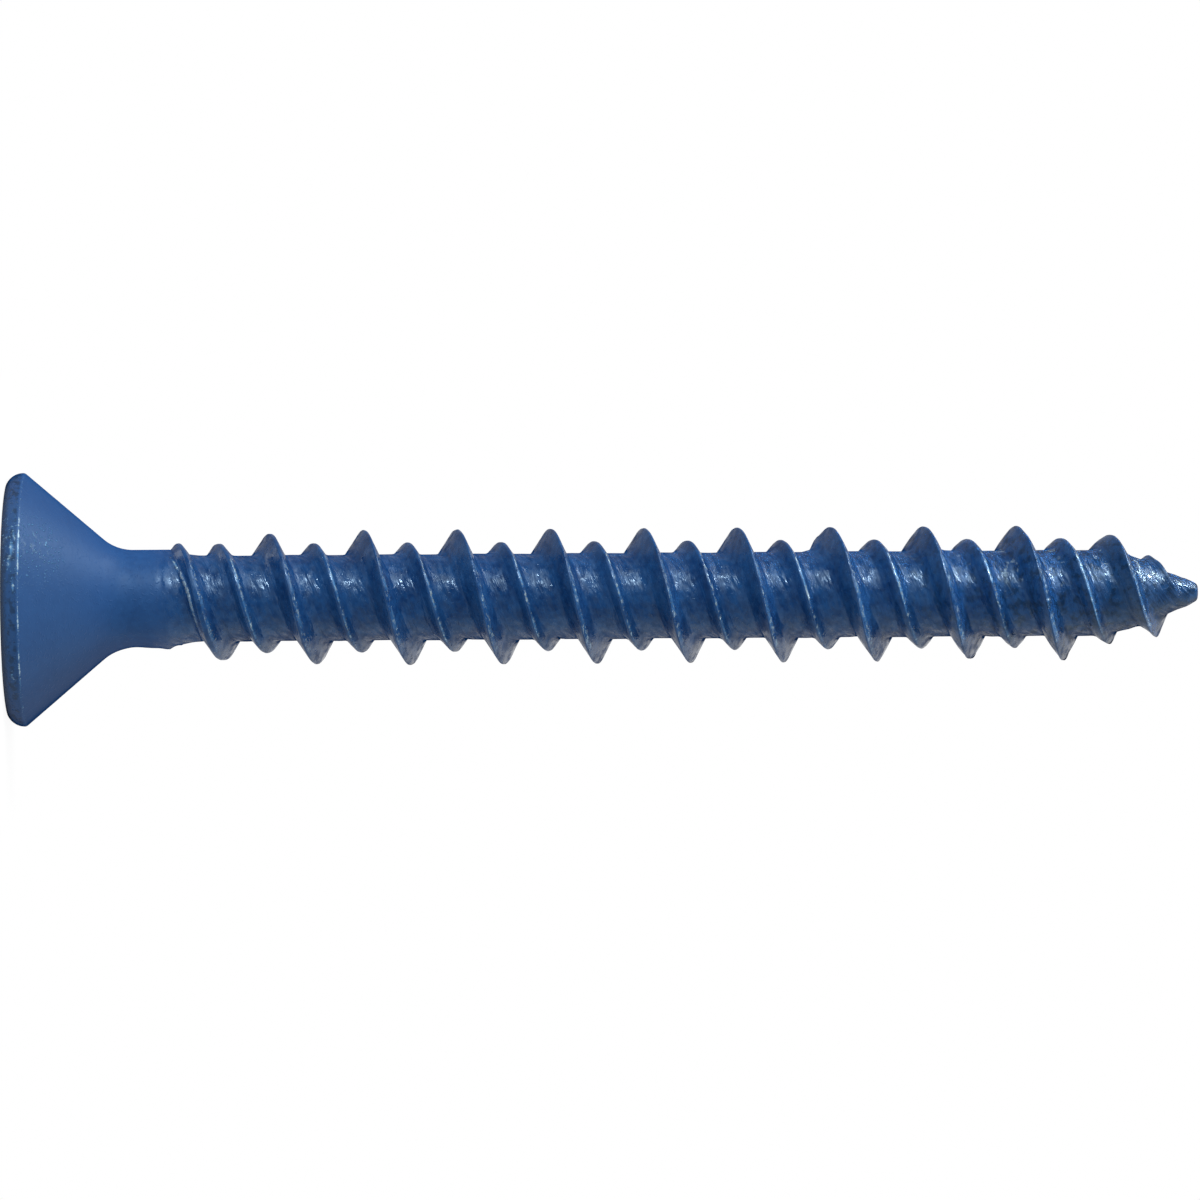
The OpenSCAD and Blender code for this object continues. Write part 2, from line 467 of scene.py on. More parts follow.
# %% Turn the head and bridge it to the threads
HEAD_STEPS = 132
NECK_GAP = 0.08
RIM_ARC_STEPS = 8
CORNER_ARC_STEPS = 5
FILLET_ARC_STEPS = 10
CONE_ROWS = 12
CORNER_ROWS = [0.15, 0.3, 0.6]
NECK_ROWS = 12
# The pale line on the rim's corner is wear and painted highlight.
RIM_LINE_Z = 0.86
RIM_LINE_W = 0.035
RIM_LINE_WEAR_AND_HIGHLIGHT = 0.44
# Worn and lit places on the corner, where the pale line is wear and painted highlight: angle and spread in
# degrees
RIM_WORN_AND_LIT = [(66, 11), (100, 4), (122, 7), (231, 9), (296, 7)]
# Pale spots on the rim, mostly painted glints on its lit side and partly wear: angle, spread, height, reach
RIM_SPOTS_AND_GLINTS = [
    (59, 3, 0.62, 0.06),
    (66, 5, 0.56, 0.09),
    (73, 3.5, 0.46, 0.08),
    (84, 3, 0.62, 0.06),
    (128, 3, 0.55, 0.06),
]
# The pale specks beside the rim are partly a speckled coat and partly painted glints.
SPECK_WEAR_AND_GLINT = 0.27
SPECK_ANGLE = 62
SPECK_SPREAD = 18
SPECK_Z = 3.2


def arc(centre_r, centre_z, radius, start, stop, steps):
    """Points on an arc of the outline, as (radius, height)."""
    angles = [start + (stop - start) * i / steps for i in range(steps + 1)]
    return [(centre_r + radius * math.cos(a), centre_z + radius * math.sin(a)) for a in angles]


def cone_row(i):
    """A point on the countersink, from the corner to the fillet."""
    return (
        CORNER_END_R + (TOUCH_R - CORNER_END_R) * i / CONE_ROWS,
        CORNER_END_Z + (TOUCH_Z - CORNER_END_Z) * i / CONE_ROWS,
    )


neck_l = CUT_LOW_Z - NECK_GAP - NECK_Z
outline = (
    arc(HEAD_R - RIM_R, RIM_H, RIM_R, -math.asin(RIM_H / RIM_R), 0, RIM_ARC_STEPS)
    + arc(HEAD_R - CORNER_R, RIM_H, CORNER_R, 0, CONE, CORNER_ARC_STEPS)[1:]
    + [cone_row(i) for i in CORNER_ROWS + list(range(1, CONE_ROWS))]
    + arc(NECK_R + FILLET_R, NECK_Z, FILLET_R, math.pi + CONE, math.pi, FILLET_ARC_STEPS)
    + [(NECK_R, NECK_Z + neck_l * i / NECK_ROWS) for i in range(1, NECK_ROWS + 1)]
)
bmesh.ops.spin(
    bm, geom=add_wire(bm, outline), cent=(0, 0, 0), axis=(0, 0, 1), dvec=(0, 0, 0),
    angle=2 * math.pi, steps=HEAD_STEPS, use_merge=True,
)
bmesh.ops.bridge_loops(bm, edges=rim_edges(CUT_LOW_Z) + rim_edges(CUT_LOW_Z - NECK_GAP))
# Wear with painted highlight and painted glints on the head: corner line, spots and specks.
for v in bm.verts:
    if v.co.z < NECK_Z:
        angle = math.degrees(round_angle(v.co)) % 360
        worn_and_lit = sum(fade(angle - place, spread) for place, spread in RIM_WORN_AND_LIT)
        corner = (RIM_LINE_WEAR_AND_HIGHLIGHT + worn_and_lit) * fade(v.co.z - RIM_LINE_Z, RIM_LINE_W)
        speck = SPECK_WEAR_AND_GLINT * fade(angle - SPECK_ANGLE, SPECK_SPREAD) * share_of(SPECK_Z - v.co.z, 1)
        spot = max(
            fade(angle - place, spread) * fade(v.co.z - z, reach)
            for place, spread, z, reach in RIM_SPOTS_AND_GLINTS
        )
        v[wear_and_highlight] = max(speck, spot, corner)
print("head turned, piece has", len(bm.faces), "faces")

# %% [markdown]
# Rolled threads are never perfect. The dies leave a small lip where they run out
# into the neck, the coat lies in soft lumps, and the crests are nicked where
# screws knock together in their box. Each mark is a short push on the vertices
# near a place, which fades out with distance. The places are read from the
# photograph, as an angle round the axis and a height. A nick lowers only a crest.
# The other marks raise or lower whatever lies there, most of them on the two sides
# that the photograph shows in outline.

# %% Add the lip at the neck, the nicks and the uneven surface
LUMP_H = 0.011
LUMP_W = 0.45
CREST_WAVE_H = 0.014
CREST_WAVE_W = 0.8
CREST_WAVE_AT = Vector((7, 3, 5))
MARK_Z = (1.2, CUT_HIGH_Z - 0.02)
TIP_FADE = 0.6
NICK_SHARE = 0.2
# Nicks: angle in degrees, height, depth, reach
NICKS = [
    (74, 40.36, 0.07, 0.30),
    (44, 44.45, 0.09, 0.34),
    (20, 48.70, 0.09, 0.60),
]
# Other marks: angle and spread in degrees, height on the screw, reach, push
MARKS = [
    (350, 24, 38.75, 0.26, 0.28),
    (180, 40, 7.67, 0.30, 0.06),
    (180, 45, 6.15, 0.50, -0.05),
    (65, 28, 7.18, 0.07, 0.018),
    (62, 30, 7.66, 0.09, 0.025),
    (75, 24, 7.42, 0.08, -0.015),
    (180, 22, 18.75, 0.22, -0.10),
    (180, 22, 21.87, 0.15, -0.09),
    (180, 22, 24.22, 0.15, 0.10),
    (180, 22, 26.34, 0.15, -0.12),
    (180, 22, 32.25, 0.28, -0.12),
    (180, 22, 41.15, 0.34, -0.14),
    (180, 22, 46.20, 0.60, -0.12),
    (180, 22, 55.35, 0.30, 0.14),
    (0, 20, 44.80, 0.15, 0.11),
    (0, 20, 53.70, 0.22, 0.14),
    (0, 20, 55.15, 0.22, -0.10),
]
LIP_W = 0.07
LIP_H = 0.08
LIP_GROOVE = 0.6
# The lip's pale line is painted highlight as well as wear.
LIP_WEAR_AND_HIGHLIGHT = 1.8
LIP_Z = (THREAD_Z - 0.1, THREAD_Z + 2.2)
LIP_ANGLES = (15, 80, 150)
LIP_PLACES = (-0.66, -0.38, -0.52)


def turn_from(angle, centre):
    """Difference between two angles in degrees, as an angle from -180 to 180."""
    return (angle - centre + 180) % 360 - 180


def lip_at(angle):
    """Strength of the lip at an angle, and its distance from the crest."""
    start, middle, end = LIP_ANGLES
    rise, fall = share_of(angle - start, middle - start), share_of(end - angle, end - middle)
    first, second, third = LIP_PLACES
    return rise * fall, first + (second - first) * rise + (third - second) * (1 - fall)


for v in bm.verts:
    z = v.co.z
    if z < MARK_Z[0] or z > MARK_Z[1]:
        continue
    radius = math.hypot(v.co.x, v.co.y)
    angle = math.degrees(round_angle(v.co)) % 360
    push = LUMP_H * noise.noise(v.co / LUMP_W) * share_of(z - THREAD_Z + 1, 1)
    push += CREST_WAVE_H * v[crest] * noise.noise(v.co / CREST_WAVE_W + CREST_WAVE_AT)
    for nick_angle, nick_z, depth, reach in NICKS:
        if v[crest] > NICK_SHARE and abs(z - nick_z) < 2 * reach:
            arc_l = math.radians(turn_from(angle, nick_angle)) * radius
            push -= depth * v[crest] * fade(math.hypot(arc_l, z - nick_z), reach)
    for mark_angle, spread, mark_z, reach, height in MARKS:
        if abs(z - mark_z) < 3 * reach:
            push += height * fade(turn_from(angle, mark_angle), spread) * fade(z - mark_z, reach)
    u = along(v.co)
    if LIP_Z[0] < z < LIP_Z[1] and u < 0:
        strength, lip_u = lip_at(angle)
        lip = fade(u - lip_u, LIP_W) * strength
        groove = LIP_GROOVE * fade(u - lip_u - 2 * LIP_W, LIP_W) * strength
        push += LIP_H * lip - LIP_H * groove
        # Painted highlight and wear along the lip.
        v[wear_and_highlight] = max(v[wear_and_highlight], LIP_WEAR_AND_HIGHLIGHT * lip)
    set_radius(v, radius + push * share_of(CUT_HIGH_Z - z, TIP_FADE))
print("marks added:", len(NICKS), "nicks,", len(MARKS), "other marks and a lip")

# %% [markdown]
# The recess is hidden in the photograph, but a driver needs it. Its mouth is a
# cross with a square middle, and its floor is a smaller cross of the same form.
# Drawing the mouth, extruding it and moving the new corners to the floor gives the
# sloping walls. The flat between the mouth and the rim is then filled.

# %% Cut the cross recess
RECESS_DEPTH = 3.1
RECESS_REACH = 3.45
WING_SLOPE = math.radians(26.5)
HALF_FLOOR = math.radians(73)
MOUTH = {"reach": RECESS_REACH, "half_w": 0.7, "middle": 1.65}
FLOOR = {"reach": RECESS_REACH - RECESS_DEPTH * math.tan(WING_SLOPE), "half_w": 0.43, "middle": 1.2}
FLOOR_DROP = FLOOR["reach"] / math.tan(HALF_FLOOR)
WING_STEPS = 4
MOUTH_BEVEL = 0.09


def cross_points(size, z):
    """Corners of a cross with rounded wing ends and a square middle."""
    inner = size["middle"] * math.sqrt(2) - size["half_w"]
    wing_half = math.asin(size["half_w"] / size["reach"])
    wing = [(inner, -size["half_w"])]
    for i in range(WING_STEPS + 1):
        a = -wing_half + 2 * wing_half * i / WING_STEPS
        wing.append((size["reach"] * math.cos(a), size["reach"] * math.sin(a)))
    wing.append((inner, size["half_w"]))
    turned = []
    for quarter in range(4):
        turn = Matrix.Rotation(quarter * math.pi / 2, 3, "Z")
        turned += [turn @ Vector((x, y, z)) for x, y in wing]
    return turned


mouth_verts = [bm.verts.new(p) for p in cross_points(MOUTH, 0.0)]
mouth = [bm.edges.new((a, b)) for a, b in zip(mouth_verts, mouth_verts[1:] + mouth_verts[:1])]
flat_ring = [e for e in rim_edges(0.0) if e not in mouth]
bmesh.ops.triangle_fill(bm, edges=flat_ring + mouth, use_beauty=True, normal=(0, 0, -1))
walls = bmesh.ops.extrude_edge_only(bm, edges=mouth)["geom"]
floor_verts = [v for v in walls if isinstance(v, bmesh.types.BMVert)]
for v in floor_verts:
    nearest = min(range(len(mouth_verts)), key=lambda i: (mouth_verts[i].co - v.co).length)
    v.co = cross_points(FLOOR, RECESS_DEPTH)[nearest]
floor_ring = [e for e in walls if isinstance(e, bmesh.types.BMEdge)]
floor_face = bmesh.ops.edgeloop_fill(bm, edges=floor_ring)["faces"]
middle = bmesh.ops.poke(bm, faces=floor_face)["verts"][0]
middle.co = (0, 0, RECESS_DEPTH + FLOOR_DROP)
bmesh.ops.bevel(
    bm, geom=mouth, offset=MOUTH_BEVEL, offset_type="OFFSET", segments=2, profile=0.5,
    affect="EDGES", clamp_overlap=True, material=-1,
)
print("recess cut,", len(mouth_verts), "corners round its mouth")

# %% [markdown]
# The screw is one closed skin now. Counting the open edges proves it: a gap that is
# too small to see still spoils an exported mesh. Then the mesh is scaled to metres
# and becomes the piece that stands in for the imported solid. Edges are drawn sharp
# only where the faces meet at a steep angle.

# %% Close the mesh, scale it to metres and make the piece
LAST_WELD = 1e-4
SHARP = math.radians(50)

bmesh.ops.remove_doubles(bm, verts=bm.verts, dist=LAST_WELD)
bmesh.ops.recalc_face_normals(bm, faces=bm.faces)
open_edges = [e for e in bm.edges if not e.is_manifold]
print("open edges:", len(open_edges), "faces:", len(bm.faces))
print("volume:", round(bm.calc_volume(signed=True), 1), "mm3")
bmesh.ops.transform(bm, matrix=Matrix.Scale(0.001, 4), verts=bm.verts)
mesh = bpy.data.meshes.new("coated_screw")
bm.to_mesh(mesh)
bm.free()
mesh.shade_smooth()
mesh.set_sharp_from_angle(angle=SHARP)
screw = bpy.data.objects.new("coated_screw", mesh)
bpy.context.scene.collection.objects.link(screw)
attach(screw, "root")
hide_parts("screw")

# %% [markdown]
# The coat. It is a satin blue paint over steel, baked on, and it is not even. It
# lies smoother and duller on the head and the neck, it has fine pits on the
# threads, and it follows the fine lines that the dies leave along them. On the
# crests and on the rim of the head it is rubbed thin, and what lies under it shows
# pale. These pale lines also carry painted highlights, strongest where the light
# falls.
#
# One material can say all that, because its patterns read the place on the screw:
# the object coordinates, in metres, for zones and grain, and the two attributes
# for ridges and for wear with painted highlight.

# %% Start the coat's material
COAT_IOR = 1.55
SHINE_TINT = (0.54, 0.78, 1.0, 1)
HEAD_Z = (0.0056, 0.0040)

coat = bpy.data.materials.new("blue_coat")
coat.use_nodes = True
tree = coat.node_tree
paint = tree.nodes["Principled BSDF"]
paint.inputs["IOR"].default_value = COAT_IOR
paint.inputs["Specular Tint"].default_value = SHINE_TINT


def add_node(kind, inputs, **settings):
    """Add a shader node, set its options, and set or link its inputs."""
    made = tree.nodes.new("ShaderNode" + kind)
    for name, value in settings.items():
        setattr(made, name, value)
    for name, value in inputs.items():
        if isinstance(value, bpy.types.NodeSocket):
            tree.links.new(value, made.inputs[name])
        else:
            made.inputs[name].default_value = value
    return made


def math_node(operation, first, second):
    return add_node("Math", {0: first, 1: second}, operation=operation).outputs[0]


def times(first, second):
    return math_node("MULTIPLY", first, second)


def larger(first, second):
    return math_node("MAXIMUM", first, second)


def ramp(value, low, high, to_low=0.0, to_high=1.0):
    """Map a range of a value to another range, and hold it there."""
    made = add_node("MapRange", {
        "Value": value, "From Min": low, "From Max": high, "To Min": to_low, "To Max": to_high,
    }, clamp=True)
    return made.outputs["Result"]


def mix_value(factor, first, second):
    return add_node("Mix", {0: factor, 2: first, 3: second}, data_type="FLOAT").outputs[0]


def mix_colour(factor, first, second):
    return add_node("Mix", {0: factor, 6: first, 7: second}, data_type="RGBA").outputs[2]


def grain(vector, size_mm, detail, roughness=0.5):
    """Noise with features of about a size in millimetres."""
    made = add_node("TexNoise", {
        "Vector": vector, "Scale": 1000 / size_mm, "Detail": detail, "Roughness": roughness,
    })
    return made.outputs["Fac"]


place = add_node("TexCoord", {}).outputs["Object"]
axes = add_node("SeparateXYZ", {"Vector": place}).outputs
on_head = ramp(axes["Z"], *HEAD_Z)
on_ridge = add_node("Attribute", {}, attribute_name="crest").outputs["Fac"]
wear_and_highlight_mask = add_node("Attribute", {}, attribute_name="wear_and_highlight").outputs["Fac"]
print("material started:", coat.name)

# %% [markdown]
# Colour. The blue of the threads drifts slowly between a deep and a full blue, with
# a finer grain of pigment on top. The head and the neck are lighter and more even,
# the rim is darker, which is painted shade, and the tip is greyer. Dark stains lie
# on the rim and on the last third of the threads, and painted shade darkens the
# edge of the flat.

# %% Mix the blue
DEEP_BLUE = (0.0038, 0.029, 0.115, 1)
FULL_BLUE = (0.014, 0.070, 0.212, 1)
HEAD_BLUE = (0.020, 0.072, 0.213, 1)
NECK_BLUE = (0.012, 0.068, 0.225, 1)
# The rim's darker blue is painted shade.
RIM_SHADED_BLUE = (0.012, 0.052, 0.160, 1)
STAIN_AND_SHADE = (0.004, 0.020, 0.060, 1)
TIP_GREY = (0.009, 0.032, 0.076, 1)
DRIFT_MM = 1.6
PIGMENT_MM = 0.34
BLOTCH_MM = 0.36
RIM_SHADE_Z = (0.00080, 0.00074)
NECK_FROM_Z = (0.0030, 0.0048)
NECK_TO_Z = (0.0086, 0.0074)
GREY_Z = (0.0495, 0.0535)
STAIN_TIP_Z = (0.038, 0.050)
STAIN_RIM_Z = (0.00082, 0.00070)
# Painted shade darkens the edge of the flat.
FLAT_EDGE_SHADE_Z = (0.00034, 0.00012)

drift = ramp(grain(place, DRIFT_MM, 3.0), 0.35, 0.65)
pigment = ramp(grain(place, PIGMENT_MM, 2.0), 0.36, 0.64)
tone = math_node("ADD", times(drift, 0.5), times(pigment, 0.5))
thread_blue = mix_colour(tone, DEEP_BLUE, FULL_BLUE)
# Painted shade: the rim is mixed to a darker blue.
head_and_shaded_rim_blue = mix_colour(ramp(axes["Z"], *RIM_SHADE_Z), HEAD_BLUE, RIM_SHADED_BLUE)
head_or_thread = mix_colour(times(on_head, 0.8), thread_blue, head_and_shaded_rim_blue)
on_neck = times(ramp(axes["Z"], *NECK_FROM_Z), ramp(axes["Z"], *NECK_TO_Z))
neck_too = mix_colour(times(on_neck, 0.6), head_or_thread, NECK_BLUE)
tip_too = mix_colour(ramp(axes["Z"], *GREY_Z, 0.0, 0.42), neck_too, TIP_GREY)
stained = larger(ramp(axes["Z"], *STAIN_TIP_Z, 0.0, 0.8), ramp(axes["Z"], *STAIN_RIM_Z, 0.0, 0.8))
blotches = times(ramp(grain(place, BLOTCH_MM, 2.0), 0.50, 0.62), stained)
# Real stains in blotches, and painted shade along the edge of the flat.
stains_and_edge_shade = larger(blotches, ramp(axes["Z"], *FLAT_EDGE_SHADE_Z, 0.0, 0.85))
blue = mix_colour(stains_and_edge_shade, tip_too, STAIN_AND_SHADE)
print("blue mixed from", DEEP_BLUE[:3], "to", HEAD_BLUE[:3])

# %% [markdown]
# Wear and painted highlight. The attribute for wear and painted highlight is
# highest along one edge of each crest and along the corner of the rim, most of all
# on the lit side, and falls to 0 beside them. Noise breaks the lines up, because
# real ones come and go. There are two layers. Where the coat is thin it is a
# lighter blue, which is also a painted highlight, also in the specks beside the
# rim. Where it is worn through it is pale and a little metallic, also in a few
# scuffs in the root near the tip on the lit upper side, which are partly painted
# glints.

# %% Wear the crests, the rim and the tip, with painted highlights and glints
# A lighter blue for thin coat and painted highlight, and a pale colour for bare metal and painted glints.
THIN_AND_LIT_BLUE = (0.085, 0.24, 0.47, 1)
WORN_AND_GLINT_PALE = (0.42, 0.58, 0.68, 1)
GAP_MM = 0.9
SPECK_MM = 0.12
LINE_MM = 0.24
SCUFF_GLINT_MM = 0.32
SCUFF_GLINT_Z = (0.042, 0.052)
SCUFF_LIT_SIDE_X = (-0.0002, -0.0008)
WORN_METAL = 0.6

comes_and_goes = ramp(grain(place, GAP_MM, 2.0), 0.40, 0.60, 0.0, 0.9)
thin_and_highlight_lines = times(ramp(wear_and_highlight_mask, 0.35, 0.80), comes_and_goes)
specks = ramp(grain(place, SPECK_MM, 1.0), 0.60, 0.72)
by_rim = times(on_head, ramp(wear_and_highlight_mask, 0.03, 0.22, 0.0, 0.9))
thin_coat_and_highlight = larger(thin_and_highlight_lines, times(specks, by_rim))
noisy = math_node("ADD", grain(place, LINE_MM, 3.0, 0.7), ramp(wear_and_highlight_mask, 0.4, 1.6, -0.11, 0.12))
line_wear_and_highlight = times(ramp(wear_and_highlight_mask, 0.2, 0.6), ramp(noisy, 0.44, 0.56))
# The scuffs near the tip lie only on the lit upper side: partly scuffs, partly painted glints.
lit_side_near_tip = times(ramp(axes["Z"], *SCUFF_GLINT_Z, 0.0, 0.6), ramp(axes["X"], *SCUFF_LIT_SIDE_X))
lit_side_near_tip = times(lit_side_near_tip, ramp(on_ridge, 0.02, 0.15, 1.0, 0.0))
scuffs_and_glints = times(ramp(grain(place, SCUFF_GLINT_MM, 3.0, 0.6), 0.60, 0.68), lit_side_near_tip)
wear_and_glints = larger(line_wear_and_highlight, scuffs_and_glints)
colour = mix_colour(wear_and_glints, mix_colour(thin_coat_and_highlight, blue, THIN_AND_LIT_BLUE), WORN_AND_GLINT_PALE)
tree.links.new(colour, paint.inputs["Base Color"])
tree.links.new(times(wear_and_glints, WORN_METAL), paint.inputs["Metallic"])
print("wear added on the crests, the rim and the tip")

# %% [markdown]
# Grain. Fine lines run along the threads. To draw them, the height of a point is
# measured from the helix instead of from the floor, and the noise is stretched
# round the screw. The angle round the axis jumps on one side, so two copies with
# the jump on opposite sides are blended, and no seam shows. Pits come from a second
# noise of the same kind and specks from a plain one. They only bend the light, as
# such shallow marks do.

# %% Add the fine grain
LINES_MM = 0.10
LINES_STRETCH = 6.2
LINES_H = 0.55
PITS_MM = 0.34
PITS_STRETCH = 2.2
SEAM_X = (-0.0005, 0.0005)
GRAIN_FROM_Z = (0.0076, 0.0088)
RIM_GRAIN_Z = (0.0008, 0.0010)
TIP_PLAIN_Z = (0.05675, 0.05700)
BUMP_STRENGTH = 0.9
BUMP_HEIGHT = 0.000060


def helix_grain(stretch, size_mm, detail, roughness=0.5):
    """Noise that follows the helix, blended from two copies."""
    halves = []
    for sign in (-1, 1):
        x, y = (times(axes[name], sign) for name in "XY")
        climb = times(math_node("ARCTAN2", y, x), LEAD * 0.001 / (2 * math.pi))
        vector = add_node("CombineXYZ", {
            "X": times(axes["X"], 1 / stretch),
            "Y": times(axes["Y"], 1 / stretch),
            "Z": math_node("SUBTRACT", axes["Z"], climb),
        }).outputs["Vector"]
        halves.append(grain(vector, size_mm, detail, roughness))
    return mix_value(ramp(axes["X"], *SEAM_X), *halves)


lines = helix_grain(LINES_STRETCH, LINES_MM, 2.0)
pits = ramp(helix_grain(PITS_STRETCH, PITS_MM, 1.5, 0.45), 0.26, 0.70)
in_root = times(ramp(axes["Z"], *GRAIN_FROM_Z, 0.08, 1.0), ramp(on_ridge, 0.03, 0.30, 1.0, 0.15))
rolled = times(math_node("ADD", times(lines, LINES_H), pits), in_root)
roughest = larger(ramp(axes["Z"], *RIM_GRAIN_Z, 0.9, 0.0), ramp(wear_and_highlight_mask, 0.03, 0.22, 0.15, 0.9))
speckled = times(specks, roughest)
relief = times(math_node("ADD", rolled, speckled), ramp(axes["Z"], *TIP_PLAIN_Z, 1.0, 0.0))
bump = add_node("Bump", {"Strength": BUMP_STRENGTH, "Distance": BUMP_HEIGHT, "Height": relief})
tree.links.new(bump.outputs["Normal"], paint.inputs["Normal"])
print("grain added, lines of", LINES_MM, "mm and pits of", PITS_MM, "mm")

# %% [markdown]
# Gloss. The head and the neck are satin all over. On the threads the gloss comes and
# goes in streaks along the helix. The coat shines most where it is seen straight on
# and is matt where it is seen from the side. Only the strength of the reflection
# follows the view, not the colour.

# %% Set the gloss
SATIN_Z = (0.0080, 0.0068)
SATIN_ROUGH = 0.50
STREAK_ROUGH = (0.09, 0.48)
STREAK_MM = 0.26
STREAK_STRETCH = 2.2
SHINE = (0.62, 0.38)

satin = ramp(axes["Z"], *SATIN_Z)
streaky = ramp(helix_grain(STREAK_STRETCH, STREAK_MM, 2.0), 0.36, 0.64, *STREAK_ROUGH)
facing = add_node("LayerWeight", {"Blend": 0.5}).outputs["Facing"]
glance = math_node("SUBTRACT", facing, ramp(on_ridge, 0.05, 0.40, 0.0, 0.20))
straight = ramp(glance, 0.34, 0.86, 1.0, 0.0)
shine = times(times(straight, straight), ramp(satin, 0.0, 1.0, *SHINE))
tree.links.new(shine, paint.inputs["Specular IOR Level"])
tree.links.new(mix_value(satin, streaky, SATIN_ROUGH), paint.inputs["Roughness"])
screw.data.materials.append(coat)
print("nodes in the coat:", len(tree.nodes))

# %% [markdown]
# The floor. The screw stands on a small pale card. It glows for the camera and for
# reflections, so that it looks as white as the room, and still keeps a part of the
# shadow. It lies a hair below the head, because two faces in one plane flicker.

# %% Floor
scene = bpy.context.scene
scene.view_settings.view_transform = "Standard"
FLOOR_R = 0.011
FLOOR_GAP = 0.00003
FLOOR_GLOW = 0.88
FLOOR_WHITE = (0.9, 0.9, 0.9, 1)
FLOOR_ROUGH = 0.9
GLOW = 1.05

floor_bm = bmesh.new()
below_head = Matrix.Translation((0, 0, -FLOOR_GAP))
bmesh.ops.create_circle(floor_bm, cap_ends=True, segments=96, radius=FLOOR_R, matrix=below_head)
floor_mesh = bpy.data.meshes.new("floor")
floor_bm.to_mesh(floor_mesh)
floor_bm.free()
floor = bpy.data.objects.new("floor", floor_mesh)
scene.collection.objects.link(floor)

card = bpy.data.materials.new("white_card")
card.use_nodes = True
tree = card.node_tree
surface = tree.nodes["Principled BSDF"]
surface.inputs["Base Color"].default_value = FLOOR_WHITE
surface.inputs["Roughness"].default_value = FLOOR_ROUGH
rays = add_node("LightPath", {}).outputs
mirrored = larger(rays["Is Glossy Ray"], rays["Is Transmission Ray"])
seen = larger(rays["Is Camera Ray"], mirrored)
glow = add_node("Emission", {"Strength": GLOW})
blend = add_node("MixShader", {
    0: times(seen, FLOOR_GLOW), 1: surface.outputs["BSDF"], 2: glow.outputs["Emission"],
})
tree.links.new(blend.outputs["Shader"], tree.nodes["Material Output"].inputs["Surface"])
floor_mesh.materials.append(card)
print("floor of", FLOOR_R * 2000, "mm")

# %% [markdown]
# The room is plain white to the camera. Reflections see white walls behind the
# screw, and darker ones on the side of the camera, on the side of -X and toward the
# head, as in a real studio. The soft light that the room gives is stronger from the
# side of the camera than from behind.

# %% Room
AMBIENT = (0.59, 0.38)
AMBIENT_Y = (-0.3, 0.5)
CAMERA_SIDE = 0.06
CAMERA_SIDE_Y = (-0.9, 0.0)
UPPER_SIDE = (0.12, 0.5)
UPPER_SIDE_Y = (-0.1, 0.8)
UPPER_SIDE_X = (-0.14, 0.04)
HEAD_SIDE = 0.7
HEAD_SIDE_Z = (-0.35, 0.1)

room = bpy.data.worlds.new("white_room")
scene.world = room
room.use_nodes = True
tree = room.node_tree
rays = add_node("LightPath", {}).outputs
outward = add_node("TexCoord", {}).outputs["Generated"]
direction = add_node("SeparateXYZ", {"Vector": outward}).outputs
upper = ramp(direction["Y"], *UPPER_SIDE_Y, *UPPER_SIDE)
by_depth = ramp(direction["Y"], *CAMERA_SIDE_Y, CAMERA_SIDE, 1.0)
by_side = ramp(direction["X"], *UPPER_SIDE_X, upper, 1.0)
by_height = ramp(direction["Z"], *HEAD_SIDE_Z, HEAD_SIDE, 1.0)
walls = times(times(by_depth, by_side), by_height)
mirrored = larger(rays["Is Glossy Ray"], rays["Is Transmission Ray"])
lit = mix_value(mirrored, ramp(direction["Y"], *AMBIENT_Y, *AMBIENT), walls)
strength = mix_value(rays["Is Camera Ray"], lit, 1.0)
tree.links.new(strength, tree.nodes["Background"].inputs["Strength"])
tree.nodes["Background"].inputs["Color"].default_value = (1, 1, 1, 1)
print("white room:", room.name)

# %% [markdown]
# The lamps. The photograph's highlights sit above the middle of the shank, so the
# main lamp stands on the side of -X and of the camera. It is small, which keeps the
# highlights crisp, and a broad lamp in the same place softens the rest. A third
# lamp lights the countersink from the side of the tip, and a very small one puts a
# spark on the tip.

# %% Lamps
TARGET = Vector((0, 0, 0.028))
TIP_TARGET = Vector((0, 0, 0.0550))
FROM_ABOVE = (-0.72, -0.68, 0.12)
FROM_TIP = (-0.70, 0.0, 0.70)
FROM_TIP_FRONT = (-0.74, -0.23, 0.63)
FAR = 0.40
NEAR = 0.15


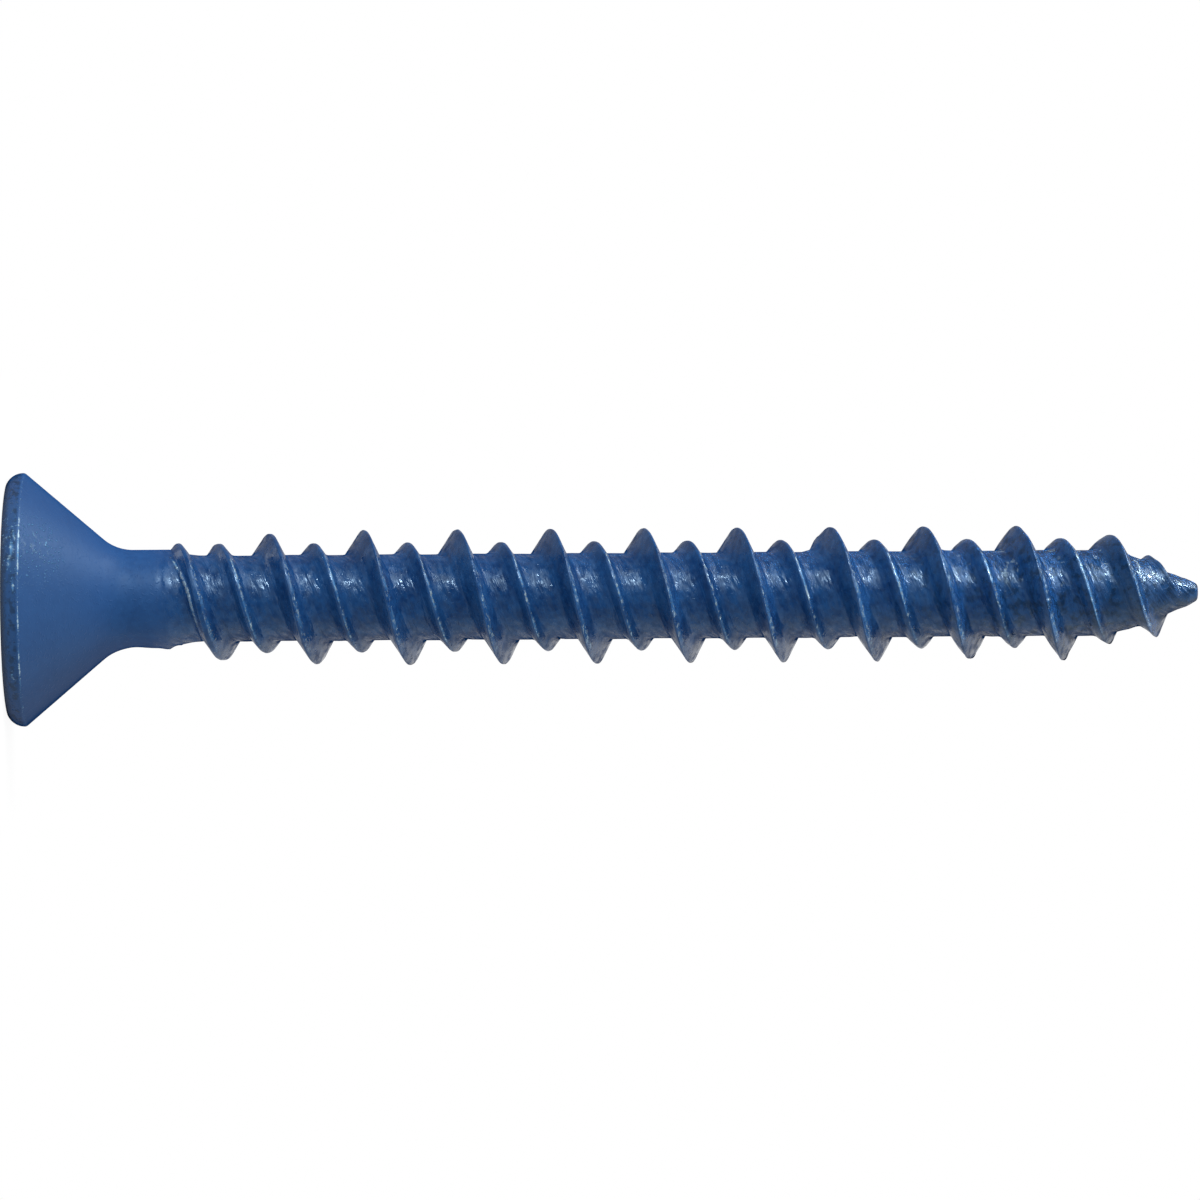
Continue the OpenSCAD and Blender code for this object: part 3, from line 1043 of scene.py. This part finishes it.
def add_lamp(name, direction, distance, size, watts, target=TARGET, spread=180):
    """A square or rectangular area lamp that faces a place on the screw."""
    data = bpy.data.lights.new(name, "AREA")
    data.shape = "RECTANGLE"
    data.size, data.size_y = size
    data.energy = watts
    data.spread = math.radians(spread)
    lamp = bpy.data.objects.new(name, data)
    lamp.location = target + Vector(direction).normalized() * distance
    lamp.rotation_mode = "QUATERNION"
    lamp.rotation_quaternion = (target - lamp.location).to_track_quat("-Z", "Y")
    scene.collection.objects.link(lamp)


add_lamp("main_lamp", FROM_ABOVE, FAR, (0.045, 0.06), 0.62)
add_lamp("soft_lamp", FROM_ABOVE, FAR, (0.36, 0.36), 0.44)
add_lamp("tip_lamp", FROM_TIP, FAR, (0.26, 0.26), 0.95)
add_lamp("spark_lamp", FROM_TIP_FRONT, NEAR, (0.02, 0.02), 0.0016, TIP_TARGET, 14)

# %% [markdown]
# The camera. It looks at the side of the screw from almost straight ahead, with the
# tip to the right, from far enough away to show little perspective. The picture's
# scale, the line of the axis across it and its slight slope were measured in the
# photograph, and the camera's place and turn follow from them. Pixels and
# millimetres are used here, and the result is turned into metres.

# %% Camera
PICTURE = 1200
SENSOR = 36.0
SCALE = 20.805
DISTANCE = 345.0
FACE_X = 9.0
AXIS_Y = 600.0
AXIS_SLOPE = -0.0066
FOOT_X = 539.5
CLIP = (0.01, 10)

middle_px = PICTURE / 2
roll = math.atan(-AXIS_SLOPE)
right = Vector((math.sin(roll), 0, math.cos(roll)))
up = Vector((-math.cos(roll), 0, math.sin(roll)))
foot = Vector((0, 0, (FOOT_X - FACE_X) / SCALE))
drop = (middle_px - (AXIS_Y + AXIS_SLOPE * FOOT_X)) / SCALE
eye = foot - up * drop + Vector((0, -DISTANCE, 0))
aim = eye + Vector((0, DISTANCE, 0)) + right * (middle_px - FOOT_X) / SCALE
camera_data = bpy.data.cameras.new("camera")
camera = bpy.data.objects.new("camera", camera_data)
scene.collection.objects.link(camera)
camera_data.sensor_width = SENSOR
camera_data.lens = SCALE * DISTANCE * SENSOR / PICTURE
camera_data.clip_start, camera_data.clip_end = CLIP
back = (eye - aim).normalized()
side = (right - back * right.dot(back)).normalized()
turn = Matrix((side, back.cross(side), back)).transposed().to_4x4()
camera.matrix_world = Matrix.Translation(eye * 0.001) @ turn
scene.camera = camera
print("camera at", [round(c, 4) for c in camera.matrix_world.translation])
print("lens", round(camera_data.lens, 1), "mm")
